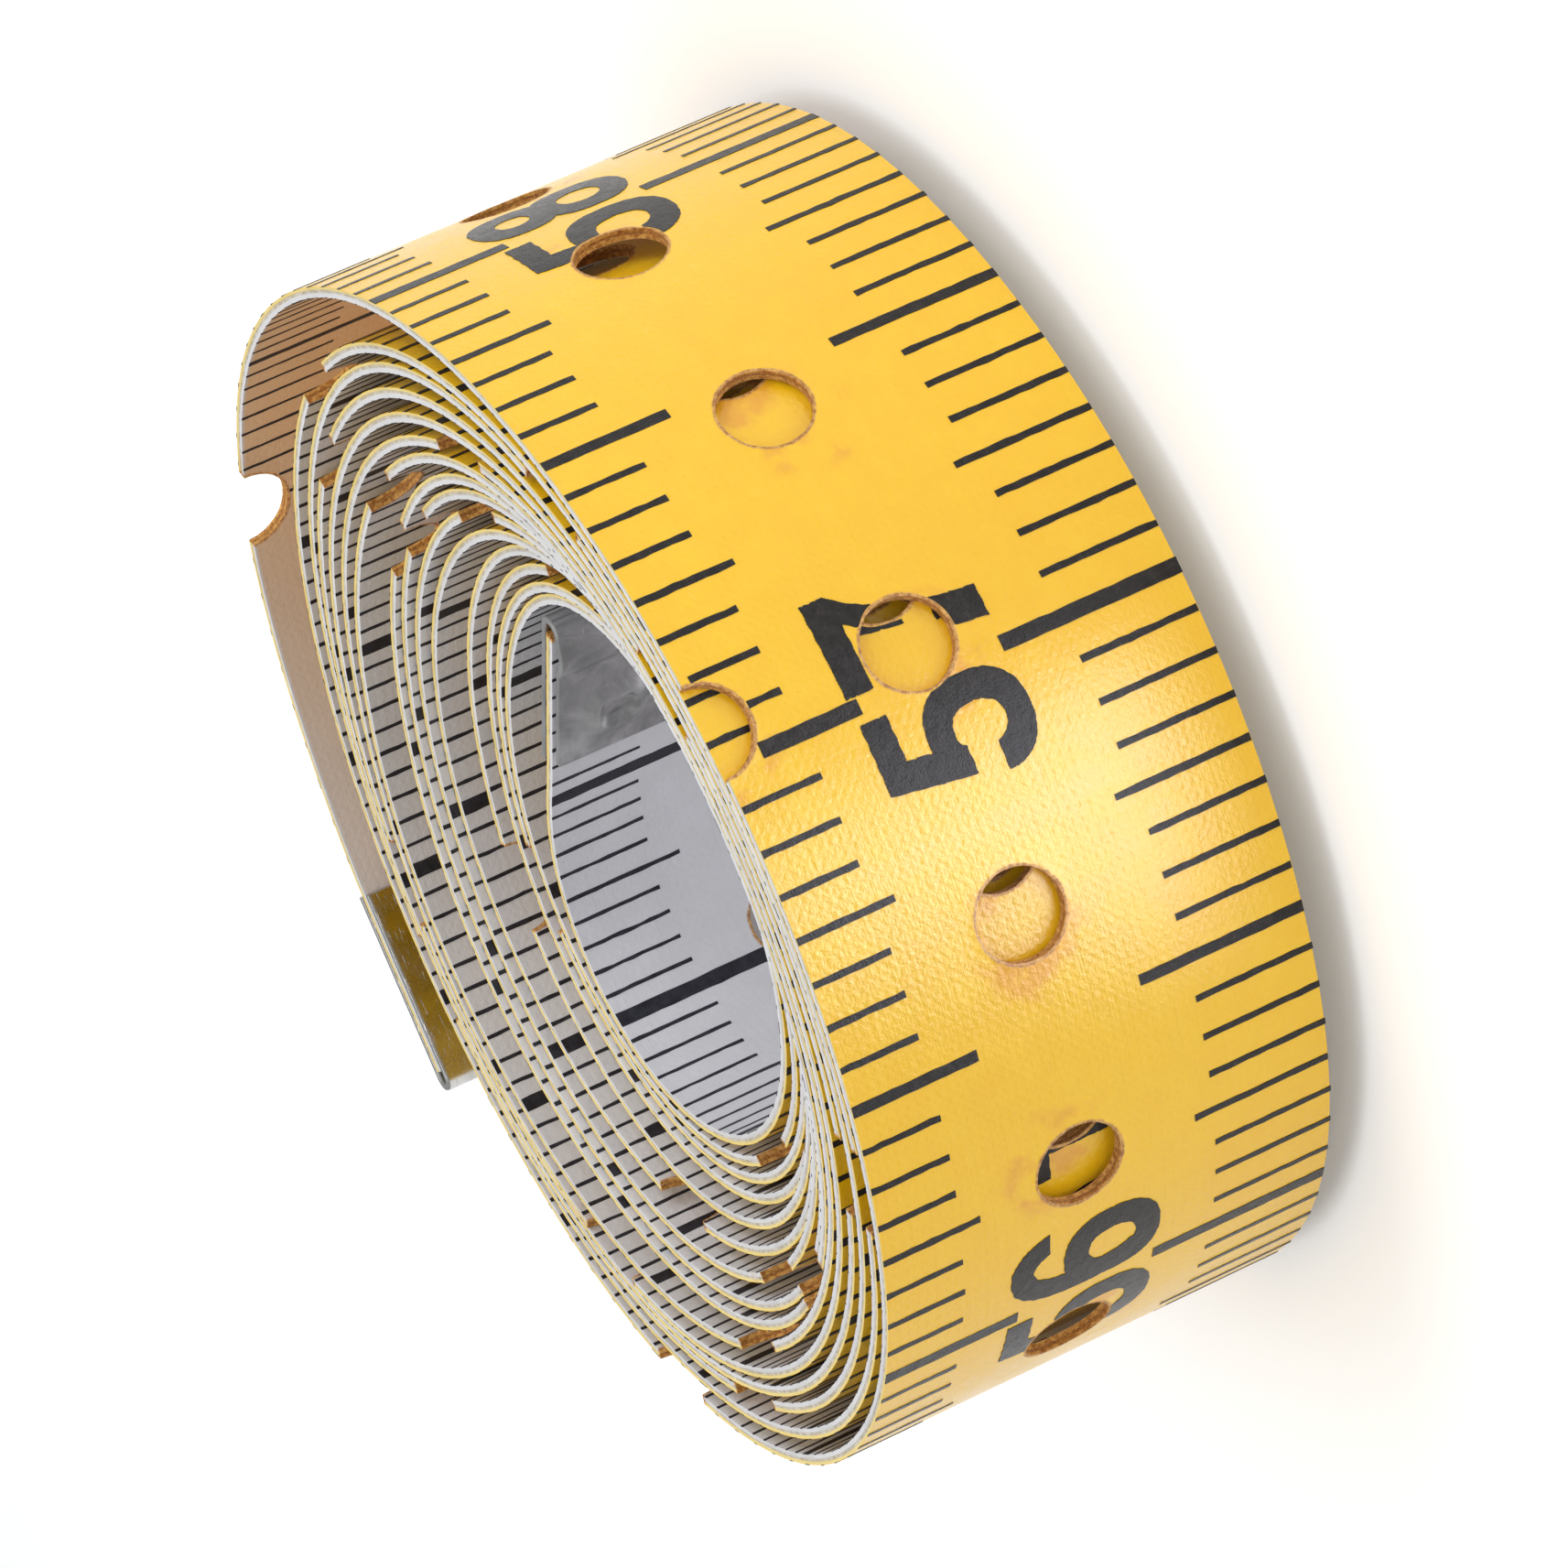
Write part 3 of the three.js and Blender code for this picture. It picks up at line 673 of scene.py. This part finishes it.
class Val:
    def __init__(self, nodes, socket):
        self.n, self.s = nodes, socket

    def __add__(self, o): return self.n.math("ADD", self, o)
    def __radd__(self, o): return self.n.math("ADD", o, self)
    def __sub__(self, o): return self.n.math("SUBTRACT", self, o)
    def __rsub__(self, o): return self.n.math("SUBTRACT", o, self)
    def __mul__(self, o): return self.n.math("MULTIPLY", self, o)
    def __rmul__(self, o): return self.n.math("MULTIPLY", o, self)
    def __truediv__(self, o): return self.n.math("DIVIDE", self, o)


def srgb(r, g, b):
    def one(v):
        v /= 255
        return v / 12.92 if v <= 0.04045 else ((v + 0.055) / 1.055) ** 2.4
    return one(r), one(g), one(b)


def punched(t, s, w, pos):
    """How burnt a place is: (rim, halo). The holes were melted through, so each has its own rim and smudges."""
    index = t.math("FLOOR", (s - 4.1) / 10)
    own, own2 = t.white(index), t.white(index + 0.37)
    u = (t.math("FRACT", (s - 4.1) / 10) - 0.5) * 10
    un = (t.math("FRACT", (s - (NOTCH_FIRST - 25)) / 50) - 0.5) * 50
    v = w - HOLE_W
    wobble = (t.noise(pos, 2600.0, 3.0) - 0.5) * 0.12
    d = t.math("SQRT", u * u + v * v)
    dn = t.math("SQRT", un * un + w * w)
    d = t.math("MINIMUM", d, dn) + wobble
    rim = t.ramp(d, HOLE_R + 0.05, HOLE_R + 0.16, 1.0, 0.0)
    du, dv = u - (own - 0.5) * 2.2, v - (own2 - 0.5) * 1.8
    dh = t.math("SQRT", du * du + dv * dv)
    dm = t.math("SQRT", (un + 0.6) * (un + 0.6) + w * w)
    dh = t.math("MINIMUM", dh, dm) + (t.noise(pos, 700.0, 2.0) - 0.5) * 1.5
    halo = t.ramp(dh, 1.7, 2.6, 1.0, 0.0) * t.ramp(t.noise(pos, 520.0, 3.0), 0.46, 0.62)
    return rim, halo, own


def coat(name, light, deep, halo_colour, halo_strength, rough, weave, depth, gloss, painted_tail_light=False):
    t = Nodes(name)
    s, w, pos = t.attribute("tape_s"), t.attribute("tape_w"), t.position()
    rim, halo, own = punched(t, s, w, pos)
    flat = t.combine(s, w, 0.0)
    large = t.noise(flat, 0.055, 3.0)
    cloud = t.noise(flat, 0.7, 4.0, 0.6)
    streak = t.noise(t.combine(s * 0.35, w * 5.0), 1.4, 4.0, 0.65)
    tone = t.ramp(large, 0.30, 0.70)
    colour = t.mix(tone * 0.75, light, deep)
    colour = t.mix(t.ramp(cloud, 0.35, 0.75, 0.0, 0.16), colour, tuple(min(1, c * 1.25 + 0.02) for c in light))
    colour = t.mix(t.ramp(streak, 0.55, 0.8, 0.0, 0.10), colour, tuple(c * 0.72 for c in deep))
    if painted_tail_light:
        # painted light: the white side of the last, single turn is tinted tan, standing in for warm light that comes
        # through from its yellow side
        face = t.ramp(w, 0.03, 0.14)
        painted_tail_tint = t.ramp(s, 1458.0, 1480.0) * t.ramp(s, 1498.0, 1517.0, 1.0, 0.35) * face
        colour = t.mix(painted_tail_tint * 0.82, colour, (light[0] * 0.98, light[1] * 0.67, light[2] * 0.37))
        # painted glow mask: where the tail is given a warm emission standing in for light coming through
        through = t.ramp(s, 1472.0, 1486.0) * t.ramp(s, 1493.0, 1507.0, 1.0, 0.0) * face
    colour = t.mix(halo * halo_strength, colour, halo_colour)
    char = t.noise(pos, 5200.0, 4.0, 0.7)
    burnt = t.mix(t.ramp(char, 0.35, 0.65), srgb(156, 98, 40), srgb(218, 166, 92))
    colour = t.mix(rim, colour, burnt)
    # the weave shows through the coat: yarns both ways, pressed flat
    two = 6.28318
    warp = t.math("SINE", w * (two / 0.40))
    weft = t.math("SINE", s * (two / 0.46))
    yarns = (warp * weft) * 0.5 + warp * 0.30 + weft * 0.18
    fine = t.noise(flat, 4.5, 4.0, 0.65)
    pits = t.noise(flat, 11.0, 3.0, 0.6)
    height = yarns * weave + (fine - 0.5) * 1.7 + (streak - 0.5) * 0.9 + (pits - 0.5) * 0.6 + (char - 0.5) * rim * 2.6
    normal = t.bump(height, depth)
    r = t.ramp(cloud, 0.3, 0.7, rough - 0.035, rough + 0.055) + (fine - 0.5) * 0.10 + rim * 0.35
    if painted_tail_light:
        # painted light: the whole white coat glows weakly (strength 0.03), and more and warmer on the tail where light
        # would come through
        return t.finish(colour, r, normal, Specular_IOR_Level=gloss, Emission_Color=t.mix(through, (1.0, 0.97, 0.93), (1.0, 0.52, 0.18)),
                        Emission_Strength=through * 0.06 + 0.03)
    return t.finish(colour, r, normal, Specular_IOR_Level=gloss)


def ink_material(name, base, rough):
    t = Nodes(name)
    s, w, pos = t.attribute("tape_s"), t.attribute("tape_w"), t.position()
    flat = t.combine(s, w, 0.0)
    blot = t.noise(flat, 2.2, 4.0, 0.65)
    speck = t.noise(flat, 14.0, 3.0, 0.7)
    colour = t.mix(t.ramp(blot, 0.3, 0.75), base, tuple(c * 2.1 + 0.006 for c in base))
    colour = t.mix(t.ramp(speck, 0.66, 0.80, 0.0, 0.5), colour, tuple(c * 3.5 + 0.03 for c in base))
    height = (blot - 0.5) * 1.6 + (speck - 0.5) * 1.1
    normal = t.bump(height, 0.000024)
    r = t.ramp(blot, 0.3, 0.7, rough - 0.07, rough + 0.10) + (speck - 0.5) * 0.14
    return t.finish(colour, r, normal, Specular_IOR_Level=0.3)


def cloth_material(name):
    t = Nodes(name)
    s, w, pos = t.attribute("tape_s"), t.attribute("tape_w"), t.position()
    rim, halo, own = punched(t, s, w, pos)
    bundle = t.noise(pos, 2300.0, 3.0, 0.6)
    fibre = t.noise(pos, 9000.0, 3.0, 0.7)
    colour = t.mix(t.ramp(bundle, 0.32, 0.68), srgb(210, 202, 188), srgb(176, 163, 138))
    colour = t.mix(t.ramp(fibre, 0.5, 0.75, 0.0, 0.4), colour, srgb(236, 231, 220))
    burnt = t.mix(t.ramp(fibre, 0.3, 0.7), srgb(128, 76, 32), srgb(196, 140, 72))
    colour = t.mix(rim, colour, burnt)
    normal = t.bump((bundle - 0.5) * 1.5 + (fibre - 0.5) * 1.2, 0.00003)
    return t.finish(colour, t.ramp(fibre, 0.2, 0.8, 0.7, 0.95), normal, Specular_IOR_Level=0.25, Sheen_Weight=0.15)


def metal_material(name, base, dark, rough):
    t = Nodes(name)
    s, w, pos = t.attribute("tape_s"), t.attribute("tape_w"), t.position()
    smudge = t.noise(pos, 420.0, 5.0, 0.62, 0.6)
    grain = t.noise(t.combine(s * 9.0, w * 0.9), 1.3, 4.0, 0.7)
    scratch = t.noise(t.combine(s * 0.9, w * 14.0), 1.1, 2.0, 0.5, 0.4)
    pit = t.noise(pos, 5200.0, 3.0, 0.7)
    colour = t.mix(t.ramp(smudge, 0.3, 0.72), base, dark)
    colour = t.mix(t.ramp(pit, 0.62, 0.80, 0.0, 0.5), colour, tuple(c * 0.45 for c in dark))
    height = (grain - 0.5) * 0.8 + (pit - 0.5) * 0.7 + t.ramp(scratch, 0.62, 0.72) * -0.8 + (smudge - 0.5) * 0.6
    normal = t.bump(height, 0.000009)
    r = t.ramp(smudge, 0.3, 0.7, rough - 0.06, rough + 0.14) + (grain - 0.5) * 0.08 + t.ramp(scratch, 0.6, 0.7) * 0.05
    return t.finish(colour, r, normal, metallic=1.0)


YELLOW = coat("coat_yellow", (0.94, 0.552, 0.003), (0.90, 0.496, 0.002), srgb(222, 136, 40), 0.50, 0.21, 0.40, 0.000016, 0.70)
WHITE = coat("coat_white", srgb(220, 220, 225), srgb(209, 208, 213), srgb(190, 160, 130), 0.30, 0.42, 0.35, 0.0000125, 0.4, True)
CUT = coat("coat_yellow_cut", srgb(232, 211, 142), srgb(219, 194, 114), srgb(206, 158, 96), 0.40, 0.62, 0.35, 0.000012, 0.3)
WHITE_CUT = coat("coat_white_cut", srgb(215, 214, 214), srgb(204, 202, 201), srgb(190, 160, 130), 0.30, 0.58, 0.35, 0.0000125, 0.3)
CLOTH = cloth_material("woven_core")
INK = ink_material("print_front", (0.0085, 0.0068, 0.0058), 0.20)
INK_BACK = ink_material("print_back", (0.017, 0.017, 0.024), 0.45)
METAL_IN = metal_material("clip_metal_inner", srgb(214, 213, 212), srgb(160, 159, 158), 0.34)
METAL_OUT = metal_material("clip_metal_outer", srgb(210, 208, 204), srgb(192, 189, 184), 0.24)

# ---- the ribbon's lengths: from, to, body, next body --------------------------------------
PIECES = [
    ("zero_end", S_FIRST, 19.1, "zero_end", "zero_link", ["tape_zero_end"]),
    ("zero_bend", 19.1, 29.1, "zero_link", "core", ["tape_zero_link"]),
    ("core", 29.1, 319.1, "core", None, ["tape_core_%02d" % k for k in range(1, 16)]),
    ("core_to_middle", 319.1, 364.1, "core", "middle", ["tape_core_16", "tape_middle_01"]),
    ("middle", 364.1, 689.1, "middle", None, ["tape_middle_%02d" % k for k in range(2, 12)]),
    ("middle_to_outer", 689.1, 744.1, "middle", "outer", ["tape_middle_12", "tape_outer_01"]),
    ("outer", 744.1, 1459.1, "outer", None, ["tape_outer_%02d" % k for k in range(2, 22)]),
    ("tail_bend_1", 1459.1, 1469.1, "outer", "tail_1", []),
    ("tail_bend_2", 1469.1, 1479.1, "tail_1", "tail_2", ["tape_tail_1"]),
    ("tail_bend_3", 1479.1, 1489.1, "tail_2", "tail_3", ["tape_tail_2"]),
    ("tail_bend_4", 1489.1, 1499.1, "tail_3", "tail_4", ["tape_tail_3"]),
    ("tail_bend_5", 1499.1, 1509.1, "tail_4", "tail_5", ["tape_tail_4"]),
    ("tail_end", 1509.1, S_LAST, "tail_5", None, ["tape_tail_5"]),
]

for label, s0, s1, body, then, nodes in PIECES:
    strip = ribbon("ribbon_" + label, s0, s1, [YELLOW, CLOTH, WHITE, CUT, WHITE_CUT])
    prints = [front_print("front_scale_" + label, s0, s1, INK), back_print("back_scale_" + label, s0, s1, INK_BACK)]
    prints = [p for p in prints if p is not None]
    if nodes:
        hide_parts(*nodes)
    for piece in [strip] + prints:
        if then is None:
            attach(piece, body)
        else:
            # a piece that spans two bodies is baked where it lies and attached to neither; start and end are worked out
            # but not used
            start, end = place(max(s0, 9.1), 9.0, 0.0), place(s1, 9.0, 0.0)
            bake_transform(piece)


# ---- the end clips ---------------------------------------------------------------------
def clip(name, fold, inward, stand, material, bumps, short=8.0, rows_w=60):
    """A strip of sheet folded over the ribbon's end. inward is +1 if the clip runs towards larger s.
    stand(a) is how far the white-side leaf's middle surface is from the ribbon's; bumps(a, w, leaf) presses the sheet."""
    half = 0.15
    lead = 0.43
    as_ = np.concatenate([np.linspace(8.0, 1.0, 52), np.linspace(0.8, 0.45, 4)])
    path = [(a, lead, 1) for a in as_]
    last = -stand(0.45)
    top, bottom = lead, last
    mid_n, rad = (top + bottom) / 2, (top - bottom) / 2
    for k in range(1, 12):
        q = math.pi * k / 12
        path.append((0.45 - rad * math.sin(q) * 0.95, mid_n + rad * math.cos(q), 0))
    path += [(a, -stand(a), -1) for a in as_[::-1] if a <= short]
    path = np.array(path, float)
    d = np.gradient(path[:, :2], axis=0)
    d /= np.linalg.norm(d, axis=1)[:, None]
    nrm = np.stack([-d[:, 1], d[:, 0]], 1)      # points to the outside of the fold
    if nrm[0, 1] < 0:
        nrm = -nrm
    ws = np.concatenate([[0.0, 0.035, 0.10], np.linspace(0.3, WIDTH - 0.3, rows_w), [WIDTH - 0.10, WIDTH - 0.035, WIDTH]])
    ring_pts = []
    m = len(path)
    rng = np.random.default_rng(7)
    for w in ws:
        edge = min(w, WIDTH - w)
        thin = 1.0 if edge > 0.099 else 0.93 if edge > 0.03 else 0.72
        press = np.array([bumps(p[0], w, p[2]) for p in path])
        bow = 0.05 * math.cos((w / WIDTH - 0.5) * math.pi)
        outer = path[:, :2] + nrm * (half * thin + press + bow * 0.3)[:, None]
        inner = path[:, :2] - nrm * (half * thin - press - bow * 0.3)[:, None]
        # the sheared open ends are rounded over
        loop = np.concatenate([outer, [(path[-1, 0] + 0.05, path[-1, 1])], inner[::-1], [(path[0, 0] + 0.05, path[0, 1])]])
        ring_pts.append(loop)
    loops = np.array(ring_pts)
    rows, cols = loops.shape[:2]
    a, n = loops[:, :, 0], loops[:, :, 1]
    s = fold + inward * a
    w = np.repeat(ws[:, None], cols, 1)
    if inward > 0:
        base = np.clip(s, 0, END_STRAIGHT)
    else:
        base = np.clip(s, LENGTH - END_STRAIGHT, LENGTH)
    x, y = np.interp(base, GRID, GX), np.interp(base, GRID, GY)
    e0, e1 = (0.5, 6.0) if inward > 0 else (LENGTH - 6.0, LENGTH - 0.5)
    tx, ty = np.interp(e1, GRID, GX) - np.interp(e0, GRID, GX), np.interp(e1, GRID, GY) - np.interp(e0, GRID, GY)
    q = math.hypot(tx, ty)
    tx, ty = tx / q, ty / q
    x, y = x + tx * (s - base), y + ty * (s - base)
    z = np.interp(fold, GRID, GZ)
    co = np.stack([x + ty * n, y - tx * n, z + WIDTH - w], -1).reshape(-1, 3) * MM
    faces = []
    for i in range(rows - 1):
        for j in range(cols):
            k = (j + 1) % cols
            f = [i * cols + j, i * cols + k, (i + 1) * cols + k, (i + 1) * cols + j]
            faces.append(f if inward > 0 else f[::-1])
    # the two cut edges, as strips between the outside and the inside of the sheet
    for i, turn in ((0, True), (rows - 1, False)):
        for j in range(m - 1):
            f = [i * cols + j, i * cols + j + 1, i * cols + (2 * m - 1 - j), i * cols + (2 * m - j)]
            if j == 0:
                f = [i * cols, i * cols + 1, i * cols + 2 * m - 1, i * cols + 2 * m]
            faces.append(f if turn == (inward < 0) else f[::-1])
        cap1 = [i * cols + m - 1, i * cols + m, i * cols + m + 1]
        cap2 = [i * cols + 2 * m, i * cols + 2 * m + 1, i * cols]
        for f in (cap1, cap2):
            faces.append(f if turn == (inward < 0) else f[::-1])
    return mesh_object(name, co, faces, [material], None, s.ravel(), w.ravel(), 42.0)


def dimple(a, w, ca, cw, ra, rw):
    """1 inside a rounded rectangle, falling to 0 at its rim."""
    v = ((abs(a - ca) / ra) ** 4 + (abs(w - cw) / rw) ** 4) ** 0.25
    return float(np.clip((1.15 - v) / 0.35, 0, 1))


def smooth(t):
    t = min(1.0, max(0.0, t))
    return t * t * (3 - 2 * t)


def stand_inner(a):
    bulge = 0.30 * math.exp(-((a - 1.4) / 0.9) ** 2)
    return 0.43 + 0.16 * smooth((a - 0.4) / 1.2) + bulge * 0.75 + 0.05 * smooth((a - 5.0) / 3.0)


def bumps_inner(a, w, leaf):
    if leaf >= 0:
        return -0.05 * dimple(a, w, 4.6, 9.0, 1.1, 1.6) * (leaf > 0)
    v = dimple(a, w, 5.2, 2.3, 1.15, 1.15) - 1.1 * dimple(a, w, 5.2, 2.3, 0.66, 0.66)
    v2 = dimple(a, w, 5.2, 15.7, 1.15, 1.15) - 1.1 * dimple(a, w, 5.2, 15.7, 0.66, 0.66)
    crease = math.exp(-((a - 2.35) / 0.16) ** 2)
    return 0.28 * (v + v2) - 0.07 * crease


def stand_outer(a):
    return 0.43 + 0.02 * smooth((a - 4) / 3)


def bumps_outer(a, w, leaf):
    if leaf <= 0:
        return 0.0
    return -0.06 * (dimple(a, w, 4.4, 5.0, 1.0, 1.5) + dimple(a, w, 4.4, 13.0, 1.0, 1.5))


inner_clip = clip("inner_clip", 0.0, 1, stand_inner, METAL_IN, bumps_inner, 7.35, 110)
outer_clip = clip("outer_clip", LENGTH, -1, stand_outer, METAL_OUT, bumps_outer)
for piece, body, node in ((inner_clip, "zero_end", "inner_end_clip"), (outer_clip, "tail_5", "outer_end_clip")):
    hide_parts(node)
    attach(piece, body)


# ---- floor, light and camera --------------------------------------------------------------
def floor():
    t = Nodes("floor_paper")
    pos = t.position()
    colour = t.mix(t.noise(pos, 9.0, 2.0), (0.93, 0.93, 0.93), (0.97, 0.97, 0.97))
    mat = t.finish(colour, 0.85, t.bump(t.noise(pos, 900.0, 2.0), 0.00001), Specular_IOR_Level=0.2,
                   Emission_Color=(1, 1, 1, 1), Emission_Strength=0.13)
    me = bpy.data.meshes.new("floor")
    r = 3.0
    me.from_pydata([(-r, -r, 0), (r, -r, 0), (r, r, 0), (-r, r, 0)], [], [(0, 1, 2, 3)])
    me.materials.append(mat)
    ob = bpy.data.objects.new("floor", me)
    bpy.context.scene.collection.objects.link(ob)


floor()


def area(name, place_mm, aim_mm, size, power, colour=(1, 1, 1), shape_y=None, sheen_only=False, no_sheen=False):
    lamp = bpy.data.lights.new(name, "AREA")
    lamp.shape = "RECTANGLE"
    lamp.size = size
    lamp.size_y = shape_y or size
    lamp.energy = power
    lamp.color = colour
    ob = bpy.data.objects.new(name, lamp)
    ob.location = Vector(place_mm) * MM
    ob.rotation_euler = (Vector(aim_mm) - Vector(place_mm)).to_track_quat("-Z", "Y").to_euler()
    ob.visible_camera = False
    ob.visible_diffuse = not sheen_only
    ob.visible_glossy = not no_sheen
    bpy.context.scene.collection.objects.link(ob)


world = bpy.data.worlds.new("soft_room")
world.use_nodes = True
world.node_tree.nodes["Background"].inputs["Color"].default_value = (0.96, 0.98, 1.0, 1)
world.node_tree.nodes["Background"].inputs["Strength"].default_value = 0.38
bpy.context.scene.world = world
bpy.context.scene.view_settings.view_transform = "Standard"
area("overhead", (-10, 30, 640), (0, 0, 0), 0.66, 2.8)
area("key", (365, -105, 175), (0, -10, 8), 0.26, 0.50, no_sheen=True)
area("fill", (30, -380, 330), (0, 0, 8), 0.34, 0.42, no_sheen=True)
# a small panel lying on the table in front, which the curve of the coat mirrors
area("table_panel", (-6.5, -48.5, 2.0), (-6.5, -48.5, 200), 0.021, 0.019, (0.84, 0.86, 1.0), 0.039, True)

camera = bpy.data.cameras.new("camera")
camera.sensor_fit = "HORIZONTAL"
camera.sensor_width = 36.0
camera.lens = 36.0 * 9932.0 / 1713.0
camera.clip_start, camera.clip_end = 0.01, 10.0
eye = bpy.data.objects.new("camera", camera)
RIGHT, DOWN, AHEAD = Vector((-0.36228, -0.35427, -0.86212)), Vector((-0.92191, 0.0, 0.38741)), Vector((-0.13725, 0.93514, -0.32661))
turn = Matrix((RIGHT.normalized(), (-DOWN).normalized(), (-AHEAD).normalized())).transposed()
eye.matrix_world = Matrix.Translation(Vector((44.868, -308.228, 117.60)) * MM) @ turn.to_4x4()
bpy.context.scene.collection.objects.link(eye)
bpy.context.scene.camera = eye
